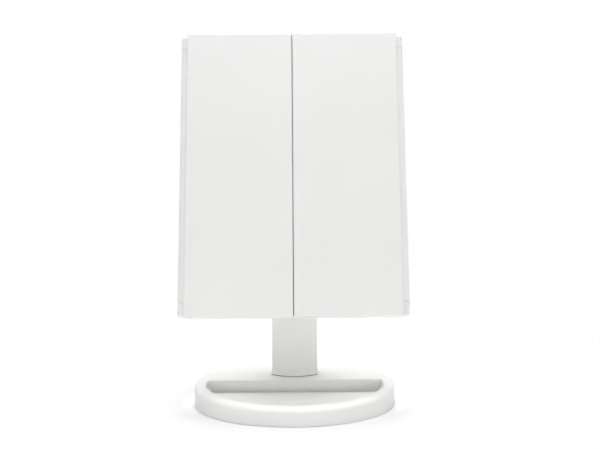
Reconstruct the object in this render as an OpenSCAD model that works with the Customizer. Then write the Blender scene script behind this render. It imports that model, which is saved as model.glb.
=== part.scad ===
// Lighted tri-fold make-up mirror on a bent neck and an oval base with a tray.
// +X is the viewer's right, the front faces -Y, +Z is up, and the origin lies under the middle of the whole.
// Base and neck are drawn round the base's own middle, and on_base() puts them in their place.
// Head pieces are drawn in the head's own frame: x across, y back from the closed wings, z up from the foot.

/* [Base] */
// Width of the oval base
base_w = 155; // [148:1:180]
// Depth of the oval base, front to back
base_d = 114; // [110:1:130]
// Height of the deck at the front edge
deck_front_h = 12.5; // [12:0.5:15]
// Height of the deck at the back edge
deck_back_h = 19.5; // [18.5:0.5:24]
// Radius of the deck's outer edge
base_edge_r = 3; // [2.2:0.2:4]
// Wall of the base shell
base_wall = 2; // [1.6:0.1:2.2]
// Thickness of the bottom cover
cover_t = 2.2; // [2:0.1:2.4]
// Height of the base shell above the table, on its feet
foot_h = 0.5; // [0.4:0.1:1.2]
// Diameter of a rubber foot
foot_d = 12; // [9:0.5:14]
// Sideways distance of the feet from the middle
foot_x = 46; // [40:1:50]
// Distance of the feet in front of and behind the middle
foot_y = 31; // [26:1:34]
// Thickness of a steel weight
weight_t = 8.5; // [5:0.5:9]

/* [Tray] */
// Width of the rim round the tray
tray_rim = 9; // [6.4:0.2:10]
// Height of the tray floor above the table
tray_floor_z = 6.4; // [6.3:0.1:8]
// Place of the tray's straight back wall behind the base's middle
tray_back_y = 5.5; // [0:0.5:6.5]
// Radius where the tray's side climbs out of the floor
tray_foot_r = 7; // [3:0.5:8]
// Radius of the tray's two back corners, seen from above
tray_corner_r = 2; // [1.5:0.5:8]
// Radius of the tray's mouth
mouth_r = 1.2; // [0.6:0.2:2]
// Thickness of the tray's floor and walls
tray_t = 1.6; // [1.2:0.1:1.7]

/* [Neck] */
// Width of the neck
neck_w = 36.4; // [32:0.4:42]
// Thickness of the neck, front to back
neck_t = 15; // [14:0.5:16]
// Wall of the two neck shells
neck_wall = 2; // [1.6:0.1:2.4]
// Radius of the neck's crowned front
neck_front_r = 36; // [30:1:60]
// Radius of the neck's flatter back
neck_back_r = 60; // [50:2:90]
// Lean of the neck's lower leg
neck_lean = 17; // [15:0.5:20]
// Distance of the neck's front behind the tray's back wall
neck_setback = 7.7; // [7.5:0.1:10]
// How far the tilt axis lies behind the neck's middle at the deck
neck_reach = 16; // [14:0.5:18]
// Radius of the neck's elbow
neck_elbow_r = 80; // [50:5:100]
// Height of the tilt axis above the table
pivot_z = 134.4; // [125:0.2:150]
// Thickness of the neck's foot plate
neck_foot_t = 3; // [2:0.2:3.4]

/* [Tilt hinge] */
// Radius of the neck's knuckle
knuckle_r = 10; // [9:0.2:11]
// Diameter of the hinge shaft
shaft_d = 6; // [5:0.2:7]
// Thickness of a friction washer
washer_t = 0.8; // [0.5:0.1:1.5]
// Thickness of the steel bracket
bracket_t = 2; // [1.5:0.1:2.5]
// Height of the steel bracket
bracket_h = 40; // [36:1:44]
// Thickness of a hinge cheek
cheek_t = 8; // [7.5:0.1:10]
// Gap between the knuckle and the head's back
pivot_gap = 1; // [0.8:0.1:2]
// Height of the tilt axis above the head's foot
pivot_up = 75; // [70:1:80]
// Lean of the head in the pose that is drawn
head_lean = 15; // [5:1:30]

/* [Head] */
// Width of the head over its hinge barrels
head_w = 176; // [168:1:200]
// Height of the head
head_h = 224; // [216:1:250]
// Depth of the head with its wings closed
head_d = 28; // [27.8:0.2:32]
// Depth at which the front frame meets the back cover
split_y = 17; // [16.8:0.1:18]
// Wall of the frame and the back cover
head_wall = 1.8; // [1.5:0.1:2]
// Width and depth of the groove where the front frame meets the back cover
groove = 0.4; // [0.3:0.1:0.6]
// Radius of the back cover's edge
back_edge_r = 6; // [4:0.5:7]
// Radius of the head's corners, seen from the front
corner_r = 3; // [2:0.5:4]
// Width of the bezel above the centre mirror
bezel_top = 3; // [2.6:0.2:5]
// Width of the bezel below the centre mirror
bezel_bottom = 2; // [2:0.2:4]
// Width of the frame at each side of the centre mirror, out to the hinge barrels
mirror_side = 30.5; // [30:0.1:34]
// Thickness of the flat mirror glass
glass_t = 2; // [1.6:0.1:2]

/* [Light strips] */
// Width of a light window
window_w = 10; // [8:0.5:10.5]
// Height of a light window
window_h = 196; // [180:2:198]
// Gap between the centre mirror and a light window
window_gap = 2.5; // [2.2:0.1:3]
// Number of light emitting diodes in a strip
led_count = 12; // [6:1:16]
// Width and height of one diode
led_w = 3.4; // [2.4:0.2:4]
// Thickness of a circuit board
board_t = 1.6; // [1.2:0.1:1.6]

/* [Wings] */
// Thickness of a wing
wing_t = 7; // [7:0.1:7.6]
// Gap between a closed wing and the front frame
wing_gap = 0.4; // [0.3:0.05:0.5]
// Gap between the two closed wings
seam = 0.5; // [0.4:0.1:1]
// Radius of the wing's hinge barrel
barrel_r = 4; // [3.8:0.1:4.4]
// Width of the barrel that shows beside the closed wing
barrel_show = 5.1; // [4.9:0.1:5.3]
// Height of the frame's knuckle at each end of the barrel
end_knuckle_h = 11.2; // [10:0.2:14]
// Wall of the wing's outer cover
wing_wall = 1.6; // [1.2:0.1:1.7]
// Radius of the wing cover's edges
wing_edge_r = 1.2; // [0.6:0.1:1.4]
// Depth of the wing's outer cover
wing_cover_d = 4.9; // [4.8:0.1:5]
// Bezel round a wing's mirror
wing_bezel = 5.4; // [5:0.1:7]
// Radius of the curved face of the weaker magnifying mirror
weak_curve_r = 1400; // [1300:50:2400]
// Radius of the curved face of the stronger magnifying mirror
strong_curve_r = 900; // [850:25:1400]
// Thickness of a curved mirror
curved_t = 1.5; // [1:0.1:1.5]
// Height of the stronger magnifying mirror
strong_h = 86; // [70:1:90]
// Diameter of a wing hinge pin
pin_d = 3; // [2.6:0.1:3.2]
// Length of a pin inside the barrel
pin_reach = 8; // [6:0.5:12]

/* [Power] */
// Diameter of a battery cell
cell_d = 14.5; // [14:0.1:14.5]
// Length of a battery cell
cell_l = 50.5; // [49:0.1:50.5]
// Number of cells side by side
cell_count = 4; // [2:1:4]
// Height of the battery bay above the tilt axis
battery_up = 30; // [28:1:40]
// Thickness of the battery door
door_t = 1.6; // [1.4:0.1:1.8]
// Travel of the power switch
switch_travel = 3; // [2:0.2:4]

/* [Fits] */
// Gap between pieces that are fitted together
fit = 0.15; // [0.1:0.05:0.2]
// Gap between pieces that move past each other
clear = 0.4; // [0.35:0.05:0.45]
// Radial play of a pin or shaft that turns
play = 0.04; // [0.02:0.01:0.06]
// Shank diameter of the small screws
screw_d = 2.6; // [2.2:0.1:2.8]
// Head diameter of the small screws
screw_head_d = 5; // [4.6:0.1:5.2]
// Head height of the small screws
screw_head_h = 1.4; // [1:0.1:1.5]

/* [Hidden] */
$fn = 64;
over = 1;

// Cross recess of a screw's head
drive_l = 0.6 * screw_head_d;
drive_w = 0.14 * screw_head_d;
drive_depth = 0.4 * screw_head_h;

// Base levels and outlines
half_w = base_w / 2;
half_d = base_d / 2;
deck_slope = (deck_back_h - deck_front_h) / base_d;
cover_lift = 0.3;
cover_z = foot_h + cover_lift;
cover_top = cover_z + cover_t;
foot_pocket = 0.8;
tray_side_flat = 0.35;
oval_sides = 96;
edge_step = 22.5;
slice_t = 0.01;
pilot_d = screw_d + 0.1;
hole_d = screw_d + 0.3;
front_screw_x = 22;
front_screw_y = half_d - 19;
back_screw_x = 27;
back_screw_y = half_d - 14;
screw_boss_d = screw_d + 3.4;
cover_screw_l = tray_floor_z - cover_z - 0.7;
weight_x = neck_w / 2 + 13;
weight_w = 24;
weight_y = 13;
weight_d = 20;

// Neck path: a leaning leg, an elbow and an upright post that ends at the tilt axis
neck_front_y = tray_back_y + neck_setback;
neck_deck_z = deck_height(neck_front_y);
neck_root_y = neck_front_y + neck_t / 2 / cos(neck_lean);
pivot_y = neck_root_y + neck_reach;
elbow_z = neck_deck_z + neck_reach / tan(neck_lean);
elbow_cut = neck_elbow_r * tan(neck_lean / 2);
post_z = elbow_z + elbow_cut;
leg_top_y = pivot_y - elbow_cut * sin(neck_lean);
leg_top_z = elbow_z - elbow_cut * cos(neck_lean);
foot_plate_z = 9;
foot_plate_top = foot_plate_z + neck_foot_t;
foot_plate_y = pivot_y - (elbow_z - foot_plate_top) * tan(neck_lean);
foot_plate_side = 8;
foot_plate_lip = 3.6;
foot_plate_w = neck_w + 2 * foot_plate_side;
foot_plate_d = neck_t / cos(neck_lean) + 2 * foot_plate_lip;
foot_screw_x = neck_w / 2 + 4.4;
foot_screw_y = 6.5;
foot_screw_l = neck_foot_t + 3.4;
leg_l = leg_top_z / cos(neck_lean);
neck_side_r = neck_t * 0.42;
elbow_lap = 2;
elbow_grow = 0.06;
leg_screw_s = (leg_top_z - neck_deck_z) / 2;
post_screw_h = (pivot_z - knuckle_r - post_z) / 2;
neck_boss_d = screw_d + 3.4;
neck_head_sink = 2.2;

// Tilt hinge, stacked outward from the neck's knuckle
ear_x = neck_w / 2 + washer_t + play;
ear_out = ear_x + bracket_t;
cheek_x = ear_out + fit;
cheek_out = cheek_x + cheek_t;
shaft_head_h = 2;
spring_t = 1;
nut_h = 3.2;
nut_d = 9.2;
cap_t = 1.2;
cheek_floor_t = cheek_t - (spring_t + nut_h + cap_t + fit);
shaft_end_x = cheek_x + cheek_floor_t;
shaft_head_d = 10;
cheek_bore_d = 12;
ear_r = 8;
cheek_r = knuckle_r - 0.4;
hinge_y = head_d + pivot_gap + knuckle_r;
bracket_y = head_d - head_wall - bracket_t;
bracket_screw_x = 12;
bracket_screw_z = bracket_h / 2 - 5;
bracket_post_d = screw_d + 3.2;
bracket_head_d = 8.4;

// Head outline and hinge line of the wings
axis_x = head_w / 2 - barrel_r;
axis_y = wing_t + wing_gap / 2;
face_x = head_w / 2 - barrel_show;
body_x = 2 * axis_x - face_x - 2 * clear;
front_y = wing_t + wing_gap;
glass_sink = 0.4;
glass_y = front_y + glass_sink;
ledge_t = 1.5;
ledge_w = 3;
frame_front_t = glass_sink + glass_t + ledge_t;
plate_back_y = front_y + frame_front_t;
rail_x = axis_x - barrel_r - 2.6;
rail_back_y = axis_y + barrel_r + clear + 1.8;
relief_r = barrel_r + clear;
mirror_w = head_w - 2 * mirror_side;
mirror_z0 = bezel_bottom;
mirror_h = head_h - bezel_top - bezel_bottom;
pin_bore_d = pin_d + 2 * play;
bush_d = 5;
bush_l = pin_reach;
barrel_z0 = end_knuckle_h + clear;
barrel_z1 = head_h - end_knuckle_h - clear;
pin_end_gap = 2;

// Light strips
window_x = mirror_w / 2 + window_gap + window_w / 2;
window_z = (head_h - window_h) / 2;
flange_t = 1.4;
flange_w = window_w + 2.8;
rib_t = 1.2;
led_board_w = window_w + 3.6;
led_board_y = plate_back_y + 4.2;
led_board_h = window_h - 4;
led_t = 1.2;
led_pitch = (window_h - window_w) / led_count;
clamp_d = 4;

// Electronics behind the lower half of the mirror
board_x0 = -14;
board_x1 = 56;
board_z0 = 11;
board_h = 30;
board_y = 21.6;
board_back_y = board_y + board_t;
back_inner_y = head_d - head_wall;
socket_x = 28;
socket_z = 20;
socket_w = 8;
socket_h = 3;
switch_x = 44;
switch_z = 20;
switch_w = 12;
switch_h = 6;
slider_w = 5;
slider_h = 3;
slider_proud = 1;
slider_base_t = 0.8;
electrode_z = 20;
electrode_d = 16;
electrode_t = 1;
board_parts_z = board_z0 + board_h / 2;
chip_x = 16;
chip_w = 6;
chip_t = 1.4;
capacitor_x = 34;
capacitor_d = 5;
capacitor_l = 6.5;
lead_socket_x = [8, 25, 42];
lead_socket_w = 6;
lead_socket_d = 4;

// Battery bay
cell_pitch = cell_d + 0.7;
bay_wall = 1.2;
contact_t = 0.5;
contact_spring = 2.4;
bay_w = cell_count * cell_pitch;
bay_h = cell_l + 2 * contact_t + contact_spring + 0.2;
bay_z = pivot_up + battery_up;
door_y = head_d - door_t;
bay_front_y = door_y - cell_d - 0.3;
door_lap = 1;
cell_y = bay_front_y + cell_d / 2 + 0.1;

// Wing frame
spigot_y = wing_wall + fit;
wing_inner_y = wing_t;
wing_glass_x0 = seam / 2 + wing_bezel;
wing_glass_x1 = face_x - wing_bezel;
wing_glass_w = wing_glass_x1 - wing_glass_x0;
wing_glass_z0 = wing_bezel;
wing_glass_h = head_h - 2 * wing_bezel;
wing_glass_sink = 0.15;
divider = 5;
weak_h = wing_glass_h - strong_h - divider;
seat_w = 2.4;

// Back cover screws
case_screw_x = rail_x - 1.6;
case_screw_z = [20, head_h / 2, head_h - 20];
case_screw_l = head_d - split_y + 1.4;
case_head_sink = 2;
case_boss_d = screw_d + 3;

// Place of the base's middle, which brings the origin under the middle of the object's depth
back_reach = pivot_y + (head_d - back_edge_r - hinge_y) * cos(head_lean)
    + (head_h - back_edge_r - pivot_up) * sin(head_lean) + back_edge_r;
base_y = (half_d - back_reach) / 2;

function deck_height(y) = deck_front_h + deck_slope * (y + half_d);

// Places children in the frame of the base and the neck
module on_base() {
    translate([0, base_y, 0])
        children();
}

// Places children in the head's frame, at the lean that is drawn
module on_head() {
    translate([0, base_y + pivot_y, pivot_z])
        rotate([-head_lean, 0, 0])
            translate([0, -hinge_y, -pivot_up])
                children();
}

// Turns a cylinder's axis so that it points to the back
module to_back(x, y, z) {
    translate([x, y, z])
        rotate([-90, 0, 0])
            children();
}

// Turns a cylinder's axis so that it points to the right
module to_right(x, y, z) {
    translate([x, y, z])
        rotate([0, 90, 0])
            children();
}

module both_sides() {
    children();
    mirror([1, 0, 0])
        children();
}

// Rounded rectangle from a corner to the opposite one, with square corners where r is 0
module round_rect(w, h, r) {
    translate([r, 0])
        square([w - 2 * r, h]);
    translate([0, r])
        square([w, h - 2 * r]);
    for (x = [r, w - r], y = [r, h - r])
        translate([x, y])
            circle(r);
}

// Plate that lies across the head, from depth y for a thickness t
module head_plate(x, y, z, w, t, h, r) {
    translate([x, y + t, z])
        rotate([90, 0, 0])
            linear_extrude(t)
                round_rect(w, h, r);
}

// Screw with its head's underside at the origin, its shank along +Z and a cross recess in its head
module screw(shank, head_d = screw_head_d) {
    difference() {
        union() {
            translate([0, 0, -screw_head_h])
                cylinder(d = head_d, h = screw_head_h);
            translate([0, 0, -screw_head_h / 2])
                cylinder(d = screw_d, h = screw_head_h / 2 + shank);
        }
        for (a = [0, 90])
            rotate(a)
                translate([-drive_l / 2, -drive_w / 2, -screw_head_h - over])
                    cube([drive_l, drive_w, over + drive_depth]);
    }
}

// ---------------------------------------------------------------- base

// Thin level oval, inset from the base's outline
module flat_slice(inset, z) {
    translate([0, 0, z])
        scale([1, (half_d - inset) / (half_w - inset), 1])
            cylinder(r = half_w - inset, h = slice_t, $fn = oval_sides);
}

// Thin oval that lies along the sloping deck, a drop below it
module deck_slice(inset, drop) {
    multmatrix([[1, 0, 0, 0], [0, 1, 0, 0], [0, deck_slope, 1, 0], [0, 0, 0, 1]])
        flat_slice(inset, deck_height(0) - drop - slice_t);
}

// Oval body from a level foot at z0 up to the deck less a drop, its upper edge rounded by r
module oval_body(inset, drop, z0, r) {
    hull() {
        flat_slice(inset, z0);
        deck_slice(inset, drop + r);
    }
    for (a = [0 : edge_step : 90 - edge_step])
        hull() {
            deck_slice(inset + r * (1 - cos(a)), drop + r * (1 - sin(a)));
            deck_slice(inset + r * (1 - cos(a + edge_step)), drop + r * (1 - sin(a + edge_step)));
        }
}

// Oval disc with straight sides
module oval_disc(inset, z0, t) {
    translate([0, 0, z0])
        scale([1, (half_d - inset) / (half_w - inset), 1])
            cylinder(r = half_w - inset, h = t, $fn = 128);
}

// Slice of the tray's rounded foot at angle a, grown by t
module foot_slice(t, a) {
    r = tray_foot_r + t;
    flat_slice(tray_rim - t + r * (1 - sin(a)), tray_floor_z - t + r * (1 - cos(a)));
}

// The tray's hollow, grown by t for the wall round it: a floor, a rounded foot and straight sides
module tray_hollow(t) {
    r = tray_foot_r + t;
    floor_z = tray_floor_z - t;
    slab_x = half_w - tray_rim + t - tray_side_flat;
    slab_d = half_d + tray_back_y + t;
    intersection() {
        union() {
            for (a = [0 : edge_step : 90 - edge_step])
                hull() {
                    foot_slice(t, a);
                    foot_slice(t, a + edge_step);
                }
            hull() {
                flat_slice(tray_rim - t, floor_z + r);
                flat_slice(tray_rim - t, 2 * deck_back_h);
            }
        }
        translate([-slab_x, -half_d, 0])
            linear_extrude(3 * deck_back_h)
                edge_profile(2 * slab_x, slab_d, tray_corner_r + t);
    }
}

// Sloped ring that eases the tray's mouth into the deck
module tray_mouth() {
    intersection() {
        hull() {
            deck_slice(tray_rim, mouth_r);
            deck_slice(tray_rim - mouth_r - over, -over);
        }
        translate([-half_w, -base_d, 0])
            cube([base_w, base_d + tray_back_y + mouth_r / 2, 3 * deck_back_h]);
    }
}

module at_cover_screws() {
    both_sides() {
        translate([front_screw_x, -front_screw_y, cover_z])
            children();
        translate([back_screw_x, back_screw_y, cover_z])
            children();
    }
}

module at_feet() {
    for (x = [-foot_x, foot_x], y = [-foot_y, foot_y])
        translate([x, y, 0])
            children();
}

module at_foot_screws() {
    for (x = [-foot_screw_x, foot_screw_x], y = [-foot_screw_y, foot_screw_y])
        translate([x, foot_plate_y + y, foot_plate_z])
            children();
}

module foot_plate_outline() {
    translate([-foot_plate_w / 2, foot_plate_y - foot_plate_d / 2])
        round_rect(foot_plate_w, foot_plate_d, 4);
}

module base_shell() {
    $fn = 32;
    color("white")
        on_base()
            difference() {
                oval_body(0, 0, foot_h, base_edge_r);
                tray_hollow(0);
                tray_mouth();
                // Hollow underside, less the tray's wall, the neck's seat and the screw bosses
                difference() {
                    oval_body(base_wall, base_wall, 0, base_edge_r - base_wall + 0.6);
                    tray_hollow(tray_t);
                    translate([0, 0, foot_plate_top])
                        linear_extrude(deck_back_h)
                            foot_plate_outline();
                    at_cover_screws()
                        translate([0, 0, cover_t])
                            cylinder(d = screw_boss_d, h = deck_back_h);
                }
                // Opening that the neck passes through
                leg_bar(-fit);
                at_foot_screws()
                    cylinder(d = pilot_d, h = foot_screw_l + 0.4);
                at_cover_screws()
                    cylinder(d = pilot_d, h = cover_screw_l + 0.2);
            }
}

module base_cover() {
    color("gainsboro")
        on_base()
            difference() {
                oval_disc(base_wall + fit, cover_z, cover_t);
                at_feet()
                    cylinder(d = foot_d + 2 * fit, h = cover_z + foot_pocket);
                at_cover_screws() {
                    cylinder(d = hole_d, h = cover_t + over);
                    translate([0, 0, -over])
                        cylinder(d = screw_head_d + 0.6, h = over + screw_head_h);
                }
            }
}

module base_weights() {
    color("dimgray")
        on_base()
            both_sides()
                translate([weight_x, weight_y, cover_top])
                    linear_extrude(weight_t)
                        round_rect(weight_w, weight_d, 3);
}

module rubber_feet() {
    color("gray")
        on_base()
            at_feet()
                cylinder(d = foot_d, h = cover_z + foot_pocket);
}

module cover_screws() {
    color("silver")
        on_base()
            at_cover_screws()
                translate([0, 0, screw_head_h])
                    screw(cover_screw_l - screw_head_h);
}

// ---------------------------------------------------------------- neck

// Cross-section of the neck: crowned front, flatter back and round sides
module neck_section(inset) {
    side_x = neck_w / 2 - neck_side_r;
    intersection() {
        translate([0, neck_front_r - neck_t / 2])
            circle(neck_front_r - inset, $fn = 240);
        translate([0, neck_t / 2 - neck_back_r])
            circle(neck_back_r - inset, $fn = 360);
        union() {
            square([2 * side_x, 2 * neck_t], center = true);
            for (x = [-side_x, side_x])
                translate([x, 0])
                    circle(neck_side_r - inset);
        }
    }
}

// Half of the section's wall, in front of the parting plane or behind it, grown a little at the elbow
module half_wall(front, grow) {
    part_gap = elbow_grow - grow;
    intersection() {
        difference() {
            neck_section(-grow);
            neck_section(neck_wall + grow);
        }
        translate([-neck_w, front ? -2 * neck_t - part_gap : part_gap])
            square([2 * neck_w, 2 * neck_t]);
    }
}

module on_leg(s) {
    translate([0, leg_top_y, leg_top_z])
        rotate([-neck_lean, 0, 0])
            translate([0, 0, -s])
                children();
}

module on_post(h) {
    translate([0, pivot_y, post_z + h])
        children();
}

// Straight bar of the leg's section, which the deck and the foot plate are cut to
module leg_bar(inset) {
    on_leg(leg_l)
        linear_extrude(leg_l)
            neck_section(inset);
}

// Half of the neck's tube: a leaning leg, an elbow and an upright post that run into each other
module neck_tube(front) {
    intersection() {
        union() {
            on_leg(leg_l)
                linear_extrude(leg_l + elbow_lap)
                    half_wall(front, 0);
            translate([0, pivot_y - neck_elbow_r, post_z])
                multmatrix([[0, 0, -1, 0], [1, 0, 0, 0], [0, -1, 0, 0], [0, 0, 0, 1]])
                    rotate_extrude(angle = neck_lean, $fn = 240)
                        translate([neck_elbow_r, 0])
                            rotate(-90)
                                half_wall(front, elbow_grow);
            on_post(-elbow_lap)
                linear_extrude(pivot_z - post_z + elbow_lap)
                    half_wall(front, 0);
        }
        translate([-base_w, -base_d, foot_plate_z])
            cube([2 * base_w, 2 * base_d, pivot_z]);
    }
}

// Everything in front of the neck's parting plane, or behind it, down at the foot
module foot_side(front) {
    on_leg(leg_l + neck_t)
        translate([-base_w, front ? -base_d : 0, 0])
            cube([2 * base_w, base_d, leg_l]);
}

// Half of the foot plate, with the leg's hollow and its screw holes cut through it
module foot_plate(front) {
    difference() {
        intersection() {
            translate([0, 0, foot_plate_z])
                linear_extrude(neck_foot_t)
                    foot_plate_outline();
            foot_side(front);
        }
        leg_bar(neck_wall / 2);
        at_foot_screws()
            translate([0, 0, -over])
                cylinder(d = hole_d, h = foot_screw_l + over);
    }
}

// Places children on the two screws that hold the neck's shells together, +Z to the front
module at_neck_screws() {
    on_leg(leg_screw_s)
        rotate([90, 0, 0])
            children();
    on_post(post_screw_h)
        rotate([90, 0, 0])
            children();
}

module knuckle(r) {
    to_right(-neck_w / 2, pivot_y, pivot_z)
        cylinder(r = r, h = neck_w);
}

module neck_front_shell() {
    color("white")
        on_base()
            difference() {
                union() {
                    neck_tube(true);
                    foot_plate(true);
                    at_neck_screws()
                        cylinder(d = neck_boss_d, h = neck_t / 2 - 0.8);
                }
                at_neck_screws()
                    translate([0, 0, -over])
                        cylinder(d = pilot_d, h = neck_t / 2 - 1.6 + over);
                knuckle(knuckle_r + 0.05);
            }
}

module neck_rear_shell() {
    color("white")
        on_base()
            difference() {
                union() {
                    neck_tube(false);
                    foot_plate(false);
                    at_neck_screws()
                        translate([0, 0, 0.8 - neck_t / 2])
                            cylinder(d = screw_head_d + 3, h = neck_t / 2 - 0.8);
                    knuckle(knuckle_r);
                }
                at_neck_screws() {
                    translate([0, 0, -neck_t])
                        cylinder(d = hole_d, h = neck_t + over);
                    translate([0, 0, -neck_t])
                        cylinder(d = screw_head_d + 0.4, h = neck_t / 2 + neck_head_sink);
                }
                to_right(-neck_w, pivot_y, pivot_z)
                    cylinder(d = shaft_d + 2 * play, h = 2 * neck_w);
            }
}

module neck_screws() {
    color("silver")
        on_base()
            at_neck_screws()
                translate([0, 0, neck_head_sink - neck_t / 2])
                    screw(neck_t - neck_head_sink - 2);
}

module neck_foot_screws() {
    color("silver")
        on_base()
            at_foot_screws()
                screw(foot_screw_l);
}

// ---------------------------------------------------------------- tilt hinge

module friction_washers() {
    color("dimgray")
        on_base()
            both_sides()
                to_right(neck_w / 2, pivot_y, pivot_z)
                    difference() {
                        cylinder(r = knuckle_r - 1.2, h = washer_t);
                        translate([0, 0, -over])
                            cylinder(d = shaft_d + 2 * play, h = washer_t + 2 * over);
                    }
}

module at_bracket_screws() {
    for (x = [-bracket_screw_x, bracket_screw_x], z = [-bracket_screw_z, bracket_screw_z])
        to_back(x, bracket_y, pivot_up + z)
            children();
}

// Round-ended ear that reaches back from the head to the shaft
module ear_shape(r, y0) {
    translate([hinge_y, pivot_up])
        circle(r);
    translate([y0, pivot_up - r])
        square([hinge_y - y0, 2 * r]);
}

// Extrudes a shape drawn in the head's depth and height across the head, from x for a width w
module across_head(x, w) {
    multmatrix([[0, 0, 1, x], [1, 0, 0, 0], [0, 1, 0, 0], [0, 0, 0, 1]])
        linear_extrude(w)
            children();
}

module hinge_bracket() {
    color("silver")
        on_head()
            difference() {
                union() {
                    head_plate(-ear_out, bracket_y, pivot_up - bracket_h / 2,
                        2 * ear_out, bracket_t, bracket_h, 1);
                    both_sides()
                        across_head(ear_x, bracket_t)
                            ear_shape(ear_r, bracket_y);
                }
                at_bracket_screws()
                    translate([0, 0, -over])
                        cylinder(d = bracket_post_d + 2 * fit, h = bracket_t + 2 * over);
                to_right(-head_w, hinge_y, pivot_up)
                    cylinder(d = shaft_d, h = 2 * head_w);
            }
}

module bracket_screws() {
    color("silver")
        on_head()
            at_bracket_screws()
                screw(bracket_t + head_wall - 0.8, bracket_head_d);
}

module hinge_shaft() {
    color("silver")
        on_head() {
            to_right(-shaft_end_x, hinge_y, pivot_up)
                cylinder(d = shaft_d, h = 2 * shaft_end_x + spring_t + nut_h);
            to_right(-shaft_end_x - shaft_head_h, hinge_y, pivot_up)
                cylinder(d = shaft_head_d, h = shaft_head_h);
        }
}

module spring_washer() {
    color("gray")
        on_head()
            to_right(shaft_end_x, hinge_y, pivot_up)
                difference() {
                    cylinder(d = cheek_bore_d - 1, h = spring_t);
                    translate([0, 0, -over])
                        cylinder(d = shaft_d, h = spring_t + 2 * over);
                }
}

module lock_nut() {
    color("silver")
        on_head()
            to_right(shaft_end_x + spring_t, hinge_y, pivot_up)
                difference() {
                    cylinder(d = nut_d, h = nut_h, $fn = 6);
                    translate([0, 0, -over])
                        cylinder(d = shaft_d, h = nut_h + 2 * over);
                }
}

module hinge_caps() {
    color("white")
        on_head()
            both_sides()
                to_right(cheek_out - cap_t, hinge_y, pivot_up)
                    cylinder(d = cheek_bore_d - 0.1, h = cap_t);
}

// ---------------------------------------------------------------- centre body

// Block of the centre body from depth y0 to y1, inset by a wall, with its back edge rounded by r
module body_block(y0, y1, inset, r) {
    w = 2 * (body_x - inset);
    h = head_h - 2 * inset;
    d = y1 - y0;
    intersection() {
        translate([-w / 2, y0, inset])
            linear_extrude(h)
                edge_profile(w, d, r);
        across_head(-w / 2, w)
            translate([y0, inset])
                mirror([1, -1])
                    edge_profile(h, d, r);
        head_plate(-w / 2, y0, inset, w, d, h, corner_r);
    }
}

// Rectangle with its two far corners rounded
module edge_profile(w, d, r) {
    square([w, d - r]);
    translate([r, 0])
        square([w - 2 * r, d]);
    for (x = [r, w - r])
        translate([x, d - r])
            circle(r);
}

// Knuckle at one end of a wing's hinge line, its outer end rounded
module end_knuckle() {
    rotate_extrude()
        union() {
            translate([0, corner_r])
                square([barrel_r, end_knuckle_h - corner_r]);
            square([barrel_r - corner_r, end_knuckle_h]);
            translate([barrel_r - corner_r, corner_r])
                intersection() {
                    circle(corner_r);
                    translate([0, -corner_r])
                        square([corner_r, 2 * corner_r]);
                }
        }
}

// Places children at both ends of the right hinge line, +Z toward the head's middle
module at_hinge_ends() {
    translate([axis_x, axis_y, 0])
        children();
    translate([axis_x, axis_y, head_h])
        mirror([0, 0, 1])
            children();
}

module at_case_screws() {
    for (z = case_screw_z)
        both_sides()
            to_back(case_screw_x, 0, z)
                children();
}

// Upright slot with round ends, centred on a light window
module window_slot(w, h, y, t) {
    head_plate(window_x - w / 2, y, (head_h - h) / 2, w, t, h, w / 2 - 0.01);
}

module centre_frame() {
    color("white")
        on_head()
            difference() {
                union() {
                    difference() {
                        body_block(front_y, split_y, 0, 0.01);
                        translate([-body_x + head_wall, plate_back_y, head_wall])
                            cube([2 * (body_x - head_wall), head_d, head_h - 2 * head_wall]);
                    }
                    both_sides() {
                        translate([rail_x, front_y, 0])
                            cube([body_x - rail_x - 0.5, rail_back_y - front_y, head_h]);
                        at_hinge_ends()
                            end_knuckle();
                        // Ribs that shade a light strip and seat its board
                        for (x = [window_x - led_board_w / 2, window_x + led_board_w / 2 - rib_t])
                            translate([x, plate_back_y - 0.1, window_z - 1])
                                cube([rib_t, led_board_y - plate_back_y + 0.1, window_h + 2]);
                    }
                    at_case_screws()
                        translate([0, 0, plate_back_y - 0.1])
                            cylinder(d = case_boss_d, h = split_y - plate_back_y + 0.1);
                }
                both_sides() {
                    // Hollow that the wing's barrel turns in
                    translate([axis_x, axis_y, end_knuckle_h])
                        cylinder(r = relief_r, h = head_h - 2 * end_knuckle_h);
                    at_hinge_ends()
                        translate([0, 0, pin_end_gap])
                            cylinder(d = pin_bore_d, h = end_knuckle_h);
                    window_slot(window_w, window_h, front_y - over, frame_front_t + 2 * over);
                    window_slot(flange_w + 0.2, window_h + 3, plate_back_y - flange_t, flange_t + over);
                }
                translate([-mirror_w / 2 - fit, front_y - over, mirror_z0 - fit])
                    cube([mirror_w + 2 * fit, over + glass_sink + glass_t, mirror_h + 2 * fit]);
                translate([ledge_w - mirror_w / 2, front_y, mirror_z0 + ledge_w])
                    cube([mirror_w - 2 * ledge_w, head_d, mirror_h - 2 * ledge_w]);
                at_case_screws()
                    translate([0, 0, plate_back_y + 0.6])
                        cylinder(d = pilot_d, h = head_d);
                // Groove round the frame's back edge
                difference() {
                    translate([-head_w, split_y - groove, -over])
                        cube([2 * head_w, groove + over, head_h + 2 * over]);
                    head_plate(groove - body_x, 0, groove, 2 * (body_x - groove), head_d,
                        head_h - 2 * groove, corner_r - groove);
                }
            }
}

module centre_mirror() {
    color("lightsteelblue")
        on_head()
            translate([-mirror_w / 2, glass_y, mirror_z0])
                cube([mirror_w, glass_t, mirror_h]);
}

// Right-hand light window: a flush face with a flange behind the frame's plate
module light_window() {
    window_slot(window_w - 2 * fit, window_h - 2 * fit, front_y + fit, frame_front_t - flange_t - fit + 0.01);
    window_slot(flange_w, window_h + 2.8, plate_back_y - flange_t, flange_t);
}

module right_light_window() {
    color("ivory")
        on_head()
            light_window();
}

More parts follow.
